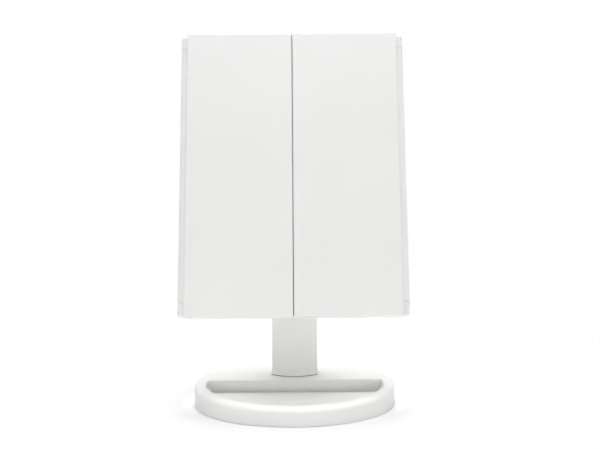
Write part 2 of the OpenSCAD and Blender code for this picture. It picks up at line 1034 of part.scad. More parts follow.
module left_light_window() {
    color("ivory")
        on_head()
            mirror([1, 0, 0])
                light_window();
}

module led_board() {
    head_plate(window_x - led_board_w / 2, led_board_y, window_z + 2, led_board_w, board_t, led_board_h, 1);
}

module leds() {
    for (i = [0 : led_count - 1])
        translate([window_x, led_board_y, head_h / 2 + (i - (led_count - 1) / 2) * led_pitch])
            translate([-led_w / 2, -led_t, -led_w / 2])
                cube([led_w, led_t, led_w]);
}

module right_led_board() {
    color("darkgreen")
        on_head()
            led_board();
}

module left_led_board() {
    color("darkgreen")
        on_head()
            mirror([1, 0, 0])
                led_board();
}

module right_leds() {
    color("lightyellow")
        on_head()
            leds();
}

module left_leds() {
    color("lightyellow")
        on_head()
            mirror([1, 0, 0])
                leds();
}

// ---------------------------------------------------------------- electronics

module touch_electrode() {
    color("gold")
        on_head() {
            to_back(0, glass_y + glass_t, electrode_z)
                cylinder(d = electrode_d, h = electrode_t);
            to_back(0, glass_y + glass_t + electrode_t, electrode_z)
                difference() {
                    cylinder(d = 6, h = board_y - glass_y - glass_t - electrode_t);
                    translate([0, 0, over])
                        cylinder(d = 4.8, h = board_y);
                }
        }
}

module at_board_screws() {
    for (x = [board_x0 + 4, board_x1 - 4], z = [board_z0 + 4, board_z0 + board_h - 4])
        to_back(x, board_y, z)
            children();
}

module control_board() {
    color("darkgreen")
        on_head()
            difference() {
                head_plate(board_x0, board_y, board_z0, board_x1 - board_x0, board_t, board_h, 1.5);
                at_board_screws()
                    translate([0, 0, -over])
                        cylinder(d = hole_d, h = board_t + 2 * over);
            }
}

// Touch controller chip and a storage capacitor on the board's front
module controller_chip() {
    color("black")
        on_head()
            head_plate(chip_x - chip_w / 2, board_y - chip_t, board_parts_z - chip_w / 2,
                chip_w, chip_t, chip_w, 0.4);
}

module storage_capacitor() {
    color("black")
        on_head()
            to_back(capacitor_x, board_y - capacitor_l, board_parts_z)
                cylinder(d = capacitor_d, h = capacitor_l);
}

// Sockets on the board's front for the leads to the light strips and the cells
module lead_sockets() {
    color("ivory")
        on_head()
            for (x = lead_socket_x)
                difference() {
                    translate([x - lead_socket_w / 2, board_y - lead_socket_d, board_z0 + board_h - 6])
                        cube([lead_socket_w, lead_socket_d, 5]);
                    translate([x - lead_socket_w / 2 + 0.8, board_y - lead_socket_d + 0.8,
                        board_z0 + board_h - 4])
                        cube([lead_socket_w - 1.6, lead_socket_d - 1.6, 5]);
                }
}

module board_screws() {
    color("silver")
        on_head()
            at_board_screws()
                screw(board_t + back_inner_y - board_back_y);
}

module charging_socket() {
    color("silver")
        on_head()
            difference() {
                head_plate(socket_x - socket_w / 2, board_back_y, socket_z - socket_h / 2,
                    socket_w, head_d - 0.6 - board_back_y, socket_h, 1);
                head_plate(socket_x - socket_w / 2 + 0.5, board_back_y + 1, socket_z - socket_h / 2 + 0.5,
                    socket_w - 1, head_d, socket_h - 1, 0.6);
            }
}

// Contact tongue inside the charging socket
module socket_tongue() {
    color("black")
        on_head()
            translate([socket_x - socket_w / 4, board_back_y + 1, socket_z - 0.3])
                cube([socket_w / 2, head_d - 2 - board_back_y, 0.6]);
}

module switch_body() {
    color("black")
        on_head()
            difference() {
                translate([switch_x - switch_w / 2, board_back_y, switch_z - switch_h / 2])
                    cube([switch_w, back_inner_y - board_back_y, switch_h]);
                translate([switch_x - switch_w / 2 + 1, back_inner_y - slider_base_t - clear,
                    switch_z - switch_h / 2 + 1])
                    cube([switch_w - 2, head_d, switch_h - 2]);
            }
}

module switch_slider() {
    left_x = switch_x - (slider_w + switch_travel) / 2;
    rib_pitch = slider_w / 4;
    color("white")
        on_head() {
            difference() {
                translate([left_x, back_inner_y - slider_base_t, switch_z - slider_h / 2])
                    cube([slider_w, slider_base_t + head_wall + slider_proud, slider_h]);
                for (i = [-1 : 1])
                    translate([left_x + slider_w / 2 + rib_pitch * i, head_d + slider_proud - 0.4,
                        switch_z - slider_h])
                        cube([0.5, over, 2 * slider_h]);
            }
        }
}

// ---------------------------------------------------------------- back cover

// Battery bay's outer block, and its hollow
module bay_block() {
    translate([-bay_w / 2 - bay_wall, bay_front_y - bay_wall, bay_z - bay_wall])
        cube([bay_w + 2 * bay_wall, head_d - 1 - bay_front_y + bay_wall, bay_h + 2 * bay_wall]);
}

module bay_hollow() {
    translate([-bay_w / 2, bay_front_y, bay_z])
        cube([bay_w, head_d, bay_h]);
    head_plate(-bay_w / 2 - door_lap - clear, door_y, bay_z - door_lap - clear,
        bay_w + 2 * (door_lap + clear), door_t + over, bay_h + 2 * (door_lap + clear), 2);
}

module back_cover() {
    cheek_bore_h = cheek_t - cheek_floor_t;
    color("white")
        on_head()
            difference() {
                union() {
                    difference() {
                        body_block(split_y, head_d, 0, back_edge_r);
                        body_block(split_y - over, head_d - head_wall, head_wall, back_edge_r - head_wall);
                    }
                    bay_block();
                    both_sides()
                        across_head(cheek_x, cheek_t)
                            ear_shape(cheek_r, back_inner_y);
                    at_case_screws()
                        translate([0, 0, split_y])
                            cylinder(d = screw_head_d + 3, h = back_inner_y - split_y + 0.2);
                    at_bracket_screws()
                        cylinder(d = bracket_post_d, h = bracket_t + 0.2);
                    at_board_screws()
                        translate([0, 0, board_t])
                            cylinder(d = screw_d + 3, h = back_inner_y - board_back_y + 0.2);
                    // Posts that clamp the light strips' boards
                    both_sides()
                        for (z = [window_z + 20, head_h / 2, head_h - window_z - 20])
                            to_back(window_x, led_board_y + board_t, z)
                                cylinder(d = clamp_d, h = back_inner_y - led_board_y - board_t + 0.2);
                }
                bay_hollow();
                at_case_screws() {
                    cylinder(d = hole_d, h = head_d + over);
                    translate([0, 0, head_d - case_head_sink])
                        cylinder(d = screw_head_d + 0.4, h = head_d);
                }
                at_bracket_screws()
                    translate([0, 0, -over])
                        cylinder(d = pilot_d, h = over + bracket_t + head_wall - 0.6);
                at_board_screws()
                    cylinder(d = pilot_d, h = board_t + back_inner_y - board_back_y + 0.4);
                // Slots for the bracket's ears, the shaft's bore and its two end recesses
                both_sides() {
                    across_head(ear_x - fit, bracket_t + 2 * fit)
                        ear_shape(ear_r + fit, bracket_y);
                    to_right(cheek_x - over, hinge_y, pivot_up)
                        cylinder(d = shaft_d, h = head_w);
                    to_right(cheek_out - cheek_bore_h, hinge_y, pivot_up)
                        cylinder(d = cheek_bore_d, h = head_w);
                }
                head_plate(socket_x - socket_w / 2 - fit, back_inner_y - over, socket_z - socket_h / 2 - fit,
                    socket_w + 2 * fit, head_d, socket_h + 2 * fit, 1);
                translate([switch_x - (slider_w + switch_travel) / 2 - clear, back_inner_y - over,
                    switch_z - slider_h / 2 - clear])
                    cube([slider_w + switch_travel + 2 * clear, head_d, slider_h + 2 * clear]);
            }
}

module back_cover_screws() {
    color("silver")
        on_head()
            at_case_screws()
                translate([0, 0, head_d - case_head_sink + screw_head_h])
                    rotate([180, 0, 0])
                        translate([0, 0, screw_head_h])
                            screw(case_screw_l);
}

module battery_door() {
    color("white")
        on_head()
            difference() {
                head_plate(-bay_w / 2 - door_lap, door_y, bay_z - door_lap,
                    bay_w + 2 * door_lap, door_t, bay_h + 2 * door_lap, 2);
                // Grip ribs near the door's upper edge
                for (i = [0 : 4])
                    translate([-8, door_y + door_t - 0.5, bay_z + bay_h - 6 - 2.4 * i])
                        cube([16, over, 1]);
            }
}

// Cell with its button at the upper end
module cell() {
    cylinder(d = cell_d, h = cell_l - 1);
    cylinder(d = 5.4, h = cell_l);
}

module at_cells() {
    for (i = [0 : cell_count - 1])
        translate([(i - (cell_count - 1) / 2) * cell_pitch, cell_y, bay_z + bay_h / 2])
            mirror([0, 0, i % 2])
                translate([0, 0, -bay_h / 2])
                    children();
}

module battery_cells() {
    color("darkorange")
        on_head()
            at_cells()
                translate([0, 0, contact_t + contact_spring])
                    cell();
}

// Contact plates at both ends of each cell, with a coned spring at its flat end
module battery_contacts() {
    color("silver")
        on_head()
            at_cells() {
                translate([-5, -5, 0])
                    cube([10, 10, contact_t]);
                translate([0, 0, contact_t])
                    difference() {
                        cylinder(r1 = 4.6, r2 = 3.2, h = contact_spring);
                        cylinder(r1 = 3.8, r2 = 2.4, h = contact_spring + 0.01);
                    }
                translate([-5, -5, bay_h - contact_t])
                    cube([10, 10, contact_t]);
            }
}

// ---------------------------------------------------------------- wings, drawn on the right

module hinge_pins() {
    at_hinge_ends()
        translate([0, 0, pin_end_gap])
            cylinder(d = pin_d, h = end_knuckle_h - pin_end_gap + clear + pin_reach - 0.3);
}

module hinge_bushes() {
    at_hinge_ends()
        translate([0, 0, barrel_z0])
            difference() {
                cylinder(d = bush_d, h = bush_l);
                translate([0, 0, -over])
                    cylinder(d = pin_bore_d, h = bush_l + 2 * over);
            }
}

module left_hinge_pins() {
    color("silver")
        on_head()
            mirror([1, 0, 0])
                hinge_pins();
}

module right_hinge_pins() {
    color("silver")
        on_head()
            hinge_pins();
}

module left_hinge_bushes() {
    color("gold")
        on_head()
            mirror([1, 0, 0])
                hinge_bushes();
}

module right_hinge_bushes() {
    color("gold")
        on_head()
            hinge_bushes();
}

// Rectangle of the wing's face with its two front corners rounded, x across and y back
module wing_profile(w, d, r) {
    translate([0, r])
        square([w, d - r]);
    translate([r, 0])
        square([w - 2 * r, d]);
    for (x = [r, w - r])
        translate([x, r])
            circle(r, $fn = 48);
}

// Room round the frame's end knuckles, and round the barrel itself
module hinge_room(barrel_room) {
    translate([axis_x, axis_y, -over])
        cylinder(r = barrel_r + barrel_room, h = head_h + 2 * over);
    at_hinge_ends()
        translate([0, 0, -over])
            cylinder(r = relief_r, h = barrel_z0 + over);
}

module wing_cover() {
    w = face_x - seam / 2;
    difference() {
        intersection() {
            translate([seam / 2, 0, 0])
                linear_extrude(head_h)
                    wing_profile(w, wing_cover_d, wing_edge_r);
            across_head(0, head_w)
                mirror([1, -1])
                    wing_profile(head_h, wing_cover_d, wing_edge_r);
        }
        translate([seam / 2 + wing_wall, wing_wall, wing_wall])
            cube([w - 2 * wing_wall, wing_t, head_h - 2 * wing_wall]);
        hinge_room(0.05);
    }
}

// Rim plate, spigot and barrel of a wing's inner frame, before its mirror pockets are cut
module wing_frame_blank() {
    w = face_x - seam / 2;
    difference() {
        union() {
            translate([seam / 2, wing_cover_d, 0])
                cube([w, wing_t - wing_cover_d, head_h]);
            translate([seam / 2 + wing_wall + fit, spigot_y, wing_wall + fit])
                cube([w - 2 * (wing_wall + fit), wing_t - spigot_y, head_h - 2 * (wing_wall + fit)]);
        }
        at_hinge_ends()
            translate([0, 0, -over])
                cylinder(r = relief_r, h = barrel_z0 + over);
    }
    translate([axis_x, axis_y, barrel_z0])
        difference() {
            cylinder(r = barrel_r, h = barrel_z1 - barrel_z0);
        }
}

module bush_bores() {
    at_hinge_ends()
        translate([0, 0, barrel_z0 - over])
            cylinder(d = bush_d, h = bush_l + over + 0.2);
}

module right_wing_frame() {
    color("white")
        on_head()
            difference() {
                wing_frame_blank();
                bush_bores();
                translate([wing_glass_x0 - fit, wing_t - wing_glass_sink - glass_t, wing_glass_z0 - fit])
                    cube([wing_glass_w + 2 * fit, wing_t, wing_glass_h + 2 * fit]);
                translate([wing_glass_x0 + seat_w, 0, wing_glass_z0 + seat_w])
                    cube([wing_glass_w - 2 * seat_w, wing_t, wing_glass_h - 2 * seat_w]);
            }
}

module right_wing_mirror() {
    color("lightsteelblue")
        on_head()
            translate([wing_glass_x0, wing_t - wing_glass_sink - glass_t, wing_glass_z0])
                cube([wing_glass_w, glass_t, wing_glass_h]);
}

module right_wing_cover() {
    color("white")
        on_head()
            wing_cover();
}

module left_wing_cover() {
    color("white")
        on_head()
            mirror([1, 0, 0])
                wing_cover();
}

// Ball cap or dish of the curve that a magnifying mirror follows, with its rim's corners at the wing's face.
// from and to are radii: the dish fills the space between them.
module curved_dish(z0, h, curve_r, from, to) {
    reach = norm([wing_glass_w, h]) / 2 + 1;
    corner = norm([wing_glass_w, h]) / 2;
    rise = sqrt(curve_r * curve_r - corner * corner);
    to_back(wing_glass_x0 + wing_glass_w / 2, wing_t - wing_glass_sink + rise, z0 + h / 2)
        rotate_extrude($fn = 128)
            intersection() {
                difference() {
                    circle(to, $fn = 2880);
                    circle(from, $fn = 2880);
                }
                translate([0, -curve_r - curved_t - over])
                    square([reach, curve_r]);
            }
}

module curved_mirror(z0, h, curve_r) {
    intersection() {
        curved_dish(z0, h, curve_r, curve_r, curve_r + curved_t);
        translate([wing_glass_x0, 0, z0])
            cube([wing_glass_w, wing_t, h]);
    }
}

// Pocket that takes a curved mirror, with a seat of the mirror's own curve
module curved_pocket(z0, h, curve_r) {
    intersection() {
        curved_dish(z0, h, curve_r, curve_r - wing_t, curve_r + curved_t);
        translate([wing_glass_x0 - fit, 0, z0 - fit])
            cube([wing_glass_w + 2 * fit, wing_t + over, h + 2 * fit]);
    }
    translate([wing_glass_x0 + seat_w, 0, z0 + seat_w])
        cube([wing_glass_w - 2 * seat_w, wing_t, h - 2 * seat_w]);
}

module left_wing_frame() {
    color("white")
        on_head()
            mirror([1, 0, 0])
                difference() {
                    wing_frame_blank();
                    bush_bores();
                    curved_pocket(wing_glass_z0, strong_h, strong_curve_r);
                    curved_pocket(wing_glass_z0 + strong_h + divider, weak_h, weak_curve_r);
                }
}

module left_strong_mirror() {
    color("lightsteelblue")
        on_head()
            mirror([1, 0, 0])
                curved_mirror(wing_glass_z0, strong_h, strong_curve_r);
}

module left_weak_mirror() {
    color("lightsteelblue")
        on_head()
            mirror([1, 0, 0])
                curved_mirror(wing_glass_z0 + strong_h + divider, weak_h, weak_curve_r);
}

base_shell();
base_cover();
base_weights();
rubber_feet();
cover_screws();
neck_front_shell();
neck_rear_shell();
neck_screws();
neck_foot_screws();
friction_washers();
hinge_bracket();
bracket_screws();
hinge_shaft();
spring_washer();
lock_nut();
hinge_caps();
centre_frame();
centre_mirror();
left_light_window();
right_light_window();
left_led_board();
right_led_board();
left_leds();
right_leds();
touch_electrode();
control_board();
controller_chip();
storage_capacitor();
lead_sockets();
board_screws();
charging_socket();
socket_tongue();
switch_body();
switch_slider();
back_cover();
back_cover_screws();
battery_door();
battery_cells();
battery_contacts();
left_hinge_pins();
right_hinge_pins();
left_hinge_bushes();
right_hinge_bushes();
left_wing_cover();
left_wing_frame();
left_strong_mirror();
left_weak_mirror();
right_wing_cover();
right_wing_frame();
right_wing_mirror();
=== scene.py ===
import math

import bmesh
import bpy
from mathutils import Matrix, Vector


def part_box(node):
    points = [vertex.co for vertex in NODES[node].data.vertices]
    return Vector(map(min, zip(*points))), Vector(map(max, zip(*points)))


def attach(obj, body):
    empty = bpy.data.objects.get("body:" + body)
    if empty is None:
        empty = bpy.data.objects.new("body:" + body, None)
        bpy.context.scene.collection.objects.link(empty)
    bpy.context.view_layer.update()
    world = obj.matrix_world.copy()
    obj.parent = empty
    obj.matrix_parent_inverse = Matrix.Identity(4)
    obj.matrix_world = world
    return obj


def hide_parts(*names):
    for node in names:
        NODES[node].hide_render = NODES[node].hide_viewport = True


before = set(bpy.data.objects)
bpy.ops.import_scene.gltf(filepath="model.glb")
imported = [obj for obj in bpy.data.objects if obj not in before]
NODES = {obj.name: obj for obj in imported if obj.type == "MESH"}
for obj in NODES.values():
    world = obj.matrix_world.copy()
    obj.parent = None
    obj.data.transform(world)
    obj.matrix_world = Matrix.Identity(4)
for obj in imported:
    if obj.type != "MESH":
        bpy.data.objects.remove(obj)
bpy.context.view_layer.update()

MM = 0.001

# The middle of the base, which lies a little in front of the origin
FEET_LO, FEET_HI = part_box("rubber_feet")
BASE_Y = (FEET_LO.y + FEET_HI.y) / 2 / MM

# ------------------------------------------------------------------ camera

# From a fit to the photograph's outlines: place in millimetres from the base's middle, pitch, yaw and
# roll in degrees (the pitch turned down a little after comparing renders), and the lens in pixels
CAMERA_X, CAMERA_Y, CAMERA_Z = 6.59, -616.3, 198.5
CAMERA_TURN = (5.486, -0.121, -0.494)
FOCAL_PX, PICTURE_W = 810.6, 600
SENSOR_W = 36


def make_camera():
    """Camera at the photograph's viewing point."""
    place = Vector((CAMERA_X, BASE_Y + CAMERA_Y, CAMERA_Z)) * MM
    pitch, yaw, roll = (math.radians(a) for a in CAMERA_TURN)
    level = math.cos(pitch)
    ahead = Vector((math.sin(yaw) * level, math.cos(yaw) * level, -math.sin(pitch)))
    right = Vector((math.cos(yaw), -math.sin(yaw), 0))
    up = right.cross(ahead)
    right_r = math.cos(roll) * right + math.sin(roll) * up
    up_r = math.cos(roll) * up - math.sin(roll) * right
    data = bpy.data.cameras.new("camera")
    data.sensor_fit = "HORIZONTAL"
    data.sensor_width = SENSOR_W
    data.lens = FOCAL_PX * data.sensor_width / PICTURE_W
    data.clip_start, data.clip_end = 0.01, 50
    cam = bpy.data.objects.new("camera", data)
    turn = Matrix((right_r, up_r, -ahead)).transposed().to_4x4()
    cam.matrix_world = Matrix.Translation(place) @ turn
    bpy.context.scene.collection.objects.link(cam)
    bpy.context.scene.camera = cam


make_camera()

# ------------------------------------------------------------------ the head's frame

HEAD_LEAN = math.radians(15)
# The tilt axis, in the head's own frame and from the base's middle
AXIS_IN_HEAD = (39, 75)
AXIS_BACK, AXIS_UP = 37.043, 134.4
# The middle of the battery cells, in the head's own frame
CELL_Y, CELL_MID_Z = 19, 132.05


def place_head(points):
    """Points in millimetres in the head's own frame (front face y 0, lower edge z 0), placed as drawn."""
    placed = []
    for x, y, z in points:
        dy, dz = y - AXIS_IN_HEAD[0], z - AXIS_IN_HEAD[1]
        back = dy * math.cos(HEAD_LEAN) + dz * math.sin(HEAD_LEAN)
        up = dz * math.cos(HEAD_LEAN) - dy * math.sin(HEAD_LEAN)
        placed.append(Vector((x, BASE_Y + AXIS_BACK + back, AXIS_UP + up)) * MM)
    return placed


# ------------------------------------------------------------------ materials


class Shader:
    """A material's node tree, with short calls for its nodes."""

    def __init__(self, name):
        self.mat = bpy.data.materials.new(name)
        self.mat.use_nodes = True
        self.tree = self.mat.node_tree
        self.tree.nodes.clear()
        self.out = self.add("ShaderNodeOutputMaterial")

    def add(self, kind, **values):
        node = self.tree.nodes.new(kind)
        for key, value in values.items():
            if hasattr(node, key):
                setattr(node, key, value)
            else:
                node.inputs[key.replace("_", " ")].default_value = value
        return node

    def link(self, a, b):
        self.tree.links.new(a, b)

    def coords(self):
        return self.add("ShaderNodeTexCoord").outputs["Object"]

    def noise(self, scale, detail=3.0, rough=0.5, vector=None):
        node = self.add("ShaderNodeTexNoise", Scale=scale, Detail=detail, Roughness=rough)
        self.link(vector or self.coords(), node.inputs["Vector"])
        return node.outputs["Fac"]

    def ramp(self, fac, stops):
        node = self.add("ShaderNodeValToRGB")
        ramp = node.color_ramp
        ramp.elements[0].position, ramp.elements[0].color = stops[0][0], (*stops[0][1], 1)
        ramp.elements[1].position, ramp.elements[1].color = stops[-1][0], (*stops[-1][1], 1)
        for place, colour in stops[1:-1]:
            ramp.elements.new(place).color = (*colour, 1)
        self.link(fac, node.inputs["Fac"])
        return node.outputs["Color"]

    def spread(self, fac, low, high):
        node = self.add("ShaderNodeMapRange")
        node.inputs["From Min"].default_value, node.inputs["From Max"].default_value = 0.3, 0.7
        node.inputs["To Min"].default_value, node.inputs["To Max"].default_value = low, high
        self.link(fac, node.inputs["Value"])
        return node.outputs["Result"]

    def bump(self, height, strength, distance):
        node = self.add("ShaderNodeBump", Strength=strength, Distance=distance)
        self.link(height, node.inputs["Height"])
        return node.outputs["Normal"]

    def blend(self, fac, a, b):
        """Mix of two colours, each given as a tuple or as a socket."""
        node = self.add("ShaderNodeMix", data_type="RGBA")
        self.link(fac, node.inputs["Factor"])
        for value, key in ((a, "A"), (b, "B")):
            if isinstance(value, tuple):
                node.inputs[key].default_value = (*value, 1)
            else:
                self.link(value, node.inputs[key])
        return node.outputs["Result"]

    def fade(self, value, start, end):
        """Rises smoothly from 0 to 1 as the value goes from start to end."""
        node = self.add("ShaderNodeMapRange", interpolation_type="SMOOTHSTEP")
        node.inputs["From Min"].default_value, node.inputs["From Max"].default_value = start, end
        self.link(value, node.inputs["Value"])
        return node.outputs["Result"]

    def seen(self):
        """1 where the camera sees the surface, straight or in metal and glass, and else 0."""
        path = self.add("ShaderNodeLightPath")
        seen = path.outputs["Is Camera Ray"]
        for kind in ("Is Glossy Ray", "Is Transmission Ray"):
            either = self.add("ShaderNodeMath", operation="MAXIMUM")
            self.link(seen, either.inputs[0])
            self.link(path.outputs[kind], either.inputs[1])
            seen = either.outputs[0]
        return seen

    def surface(self, node):
        self.link(node.outputs[0], self.out.inputs["Surface"])


def moulded(name, low, high, rough, grain=0.04, grain_scale=1400, **values):
    """Moulded plastic or rubber: faint colour drift, uneven gloss and a fine grain."""
    s = Shader(name)
    body = s.add("ShaderNodeBsdfPrincipled", **values)
    s.link(s.ramp(s.noise(14, 4), [(0.3, low), (0.7, high)]), body.inputs["Base Color"])
    s.link(s.spread(s.noise(60, 5), rough - 0.04, rough + 0.04), body.inputs["Roughness"])
    s.link(s.bump(s.noise(grain_scale, 2), grain, 0.0002), body.inputs["Normal"])
    s.surface(body)
    return s.mat


def metal(name, low, high, rough, stretch=(1, 1, 1)):
    """Metal with fine drawn or plated texture."""
    s = Shader(name)
    body = s.add("ShaderNodeBsdfPrincipled", Metallic=1.0)
    scale = s.add("ShaderNodeMapping")
    scale.inputs["Scale"].default_value = stretch
    s.link(s.coords(), scale.inputs["Vector"])
    fine = s.noise(900, 4, 0.6, scale.outputs["Vector"])
    s.link(s.ramp(fine, [(0.3, low), (0.7, high)]), body.inputs["Base Color"])
    s.link(s.spread(s.noise(300, 4), rough - 0.07, rough + 0.08), body.inputs["Roughness"])
    s.link(s.bump(fine, 0.05, 0.0002), body.inputs["Normal"])
    s.surface(body)
    return s.mat


def mirror_glass():
    """Silvered glass: a near-perfect reflection, with traces of wiping in its gloss."""
    s = Shader("silvered_glass")
    body = s.add("ShaderNodeBsdfPrincipled", Metallic=1.0)
    silver = s.ramp(s.noise(6, 3), [(0.3, (0.90, 0.925, 0.925)), (0.7, (0.92, 0.94, 0.94))])
    s.link(silver, body.inputs["Base Color"])
    wiped = s.add("ShaderNodeMapping")
    wiped.inputs["Scale"].default_value = (1, 1, 0.25)
    s.link(s.coords(), wiped.inputs["Vector"])
    s.link(s.spread(s.noise(40, 5, 0.6, wiped.outputs["Vector"]), 0.012, 0.03), body.inputs["Roughness"])
    s.surface(body)
    return s.mat


def frosted_window():
    """Milky acrylic over the light strips."""
    s = Shader("frosted_acrylic")
    body = s.add("ShaderNodeBsdfPrincipled")
    body.inputs["Transmission Weight"].default_value = 0.12
    body.inputs["IOR"].default_value = 1.49
    body.inputs["Subsurface Weight"].default_value = 0.35
    body.inputs["Subsurface Radius"].default_value = (0.006, 0.006, 0.0055)
    body.inputs["Subsurface Scale"].default_value = 1.0
    milk = s.ramp(s.noise(20, 3), [(0.3, (0.84, 0.84, 0.82)), (0.7, (0.88, 0.88, 0.865))])
    s.link(milk, body.inputs["Base Color"])
    s.link(s.spread(s.noise(500, 3), 0.42, 0.52), body.inputs["Roughness"])
    s.link(s.bump(s.noise(2500, 2), 0.06, 0.0001), body.inputs["Normal"])
    s.surface(body)
    return s.mat


def circuit_board(name, low, high):
    """Lacquered circuit board with faint tracks under its lacquer."""
    s = Shader(name)
    body = s.add("ShaderNodeBsdfPrincipled")
    body.inputs["Coat Weight"].default_value = 0.3
    tracks = s.add("ShaderNodeTexBrick", Scale=170.0)
    tracks.inputs["Color1"].default_value = (*low, 1)
    tracks.inputs["Color2"].default_value = (*high, 1)
    tracks.inputs["Mortar"].default_value = (*[c * 0.7 for c in low], 1)
    tracks.inputs["Mortar Size"].default_value = 0.03
    s.link(s.coords(), tracks.inputs["Vector"])
    s.link(tracks.outputs["Color"], body.inputs["Base Color"])
    s.link(s.spread(s.noise(200, 3), 0.35, 0.5), body.inputs["Roughness"])
    s.link(s.bump(tracks.outputs["Fac"], 0.15, 0.0002), body.inputs["Normal"])
    s.surface(body)
    return s.mat


def cell_jacket(half_h):
    """Plain wrap of a battery cell, which leaves the metal ends bare beyond half_h from the middle."""
    s = Shader("cell_jacket")
    body = s.add("ShaderNodeBsdfPrincipled")
    body.inputs["Coat Weight"].default_value = 0.4
    # how far a point is from the cells' middle, measured along the leaning cells
    along = s.add("ShaderNodeVectorMath", operation="DOT_PRODUCT")
    along.inputs[1].default_value = (0, math.sin(HEAD_LEAN), math.cos(HEAD_LEAN))
    s.link(s.coords(), along.inputs[0])
    middle = place_head([(0, CELL_Y, CELL_MID_Z)])[0].dot(Vector(along.inputs[1].default_value))
    off = s.add("ShaderNodeMath", operation="SUBTRACT")
    off.inputs[1].default_value = middle
    s.link(along.outputs["Value"], off.inputs[0])
    far = s.add("ShaderNodeMath", operation="ABSOLUTE")
    s.link(off.outputs[0], far.inputs[0])
    bare = s.add("ShaderNodeMath", operation="GREATER_THAN")
    bare.inputs[1].default_value = half_h * MM
    s.link(far.outputs[0], bare.inputs[0])
    jacket = s.ramp(s.noise(30, 3), [(0.3, (0.42, 0.20, 0.06)), (0.7, (0.50, 0.25, 0.08))])
    s.link(s.blend(bare.outputs[0], jacket, (0.60, 0.60, 0.60)), body.inputs["Base Color"])
    s.link(bare.outputs[0], body.inputs["Metallic"])
    s.link(s.spread(s.noise(150, 3), 0.28, 0.4), body.inputs["Roughness"])
    s.surface(body)
    return s.mat


WHITE = moulded("white_abs", (0.842, 0.829, 0.798), (0.858, 0.845, 0.814), 0.45, IOR=1.45)
WHITE_MATT = moulded("white_matt", (0.74, 0.74, 0.735), (0.77, 0.77, 0.765), 0.55, 0.12, 700)
RUBBER = moulded("grey_rubber", (0.10, 0.10, 0.105), (0.13, 0.13, 0.135), 0.8, 0.2, 900)
ACETAL = moulded("dark_acetal", (0.03, 0.03, 0.032), (0.05, 0.05, 0.052), 0.45)
BLACK = moulded("black_plastic", (0.015, 0.015, 0.015), (0.025, 0.025, 0.025), 0.4)
NYLON = moulded("ivory_nylon", (0.70, 0.66, 0.53), (0.74, 0.70, 0.57), 0.4)
PHOSPHOR = moulded("phosphor", (0.80, 0.62, 0.16), (0.84, 0.68, 0.22), 0.4)
STEEL = metal("zinc_steel", (0.52, 0.53, 0.54), (0.62, 0.63, 0.64), 0.34)
PLATE = metal("rolled_steel", (0.46, 0.46, 0.47), (0.56, 0.56, 0.57), 0.4, (1, 1, 8))
BRASS = metal("brass", (0.62, 0.43, 0.16), (0.72, 0.52, 0.22), 0.3)
GLASS = mirror_glass()
FROST = frosted_window()
GREEN_BOARD = circuit_board("green_board", (0.02, 0.13, 0.05), (0.03, 0.17, 0.07))
WHITE_BOARD = circuit_board("white_board", (0.72, 0.72, 0.70), (0.76, 0.76, 0.74))
CELL = cell_jacket(24.0)

DRESS = {
    "neck_front_shell": WHITE, "neck_rear_shell": WHITE, "hinge_caps": WHITE, "centre_frame": WHITE,
    "back_cover": WHITE, "battery_door": WHITE, "left_wing_cover": WHITE, "left_wing_frame": WHITE,
    "right_wing_cover": WHITE, "right_wing_frame": WHITE, "switch_slider": WHITE, "base_shell": WHITE,
    "base_cover": WHITE_MATT, "rubber_feet": RUBBER, "friction_washers": ACETAL, "switch_body": BLACK,
    "left_leds": PHOSPHOR, "right_leds": PHOSPHOR, "base_weights": PLATE, "hinge_bracket": PLATE,
    "cover_screws": STEEL, "neck_screws": STEEL, "neck_foot_screws": STEEL, "bracket_screws": STEEL,
    "hinge_shaft": STEEL, "spring_washer": STEEL, "lock_nut": STEEL, "board_screws": STEEL,
    "charging_socket": STEEL, "back_cover_screws": STEEL, "battery_contacts": STEEL,
    "left_hinge_pins": STEEL, "right_hinge_pins": STEEL, "touch_electrode": BRASS,
    "left_hinge_bushes": BRASS, "right_hinge_bushes": BRASS, "centre_mirror": GLASS,
    "right_wing_mirror": GLASS, "left_strong_mirror": GLASS, "left_weak_mirror": GLASS,
    "left_light_window": FROST, "right_light_window": FROST, "control_board": GREEN_BOARD,
    "left_led_board": WHITE_BOARD, "right_led_board": WHITE_BOARD, "battery_cells": CELL,
    "controller_chip": BLACK, "storage_capacitor": BLACK, "socket_tongue": BLACK, "lead_sockets": NYLON,
}
for node_name, mat in DRESS.items():
    for slot in NODES[node_name].material_slots:
        slot.material = mat

# ------------------------------------------------------------------ mesh helpers


def new_piece(name, verts, faces, mat, body, sharp_deg=35):
    """A mesh piece from points in metres, shaded smooth but for its sharp edges."""
    mesh = bpy.data.meshes.new(name)
    mesh.from_pydata([tuple(v) for v in verts], [], faces)
    mesh.materials.append(mat)
    bm = bmesh.new()
    bm.from_mesh(mesh)
    bmesh.ops.recalc_face_normals(bm, faces=bm.faces)
    limit = math.radians(sharp_deg)
    for face in bm.faces:
        face.smooth = True
    for edge in bm.edges:
        if len(edge.link_faces) == 2:
            edge.smooth = edge.calc_face_angle(0) < limit
    bm.to_mesh(mesh)
    bm.free()
    piece = bpy.data.objects.new(name, mesh)
    bpy.context.scene.collection.objects.link(piece)
    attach(piece, body)
    return piece


def bridge(loops, capped=False):
    """Faces between rings of equal length. The ends are capped, or else the last ring joins the first."""
    n = len(loops[0])
    verts = [v for loop in loops for v in loop]
    faces = []
    for k in range(len(loops) - 1):
        a, b = k * n, (k + 1) * n
        for i in range(n):
            j = (i + 1) % n
            faces.append((a + i, a + j, b + j, b + i))
    last = (len(loops) - 1) * n
    if capped:
        faces.append(tuple(reversed(range(n))))
        faces.append(tuple(last + i for i in range(n)))
    else:
        faces += [(last + i, last + (i + 1) % n, (i + 1) % n, i) for i in range(n)]
    return verts, faces


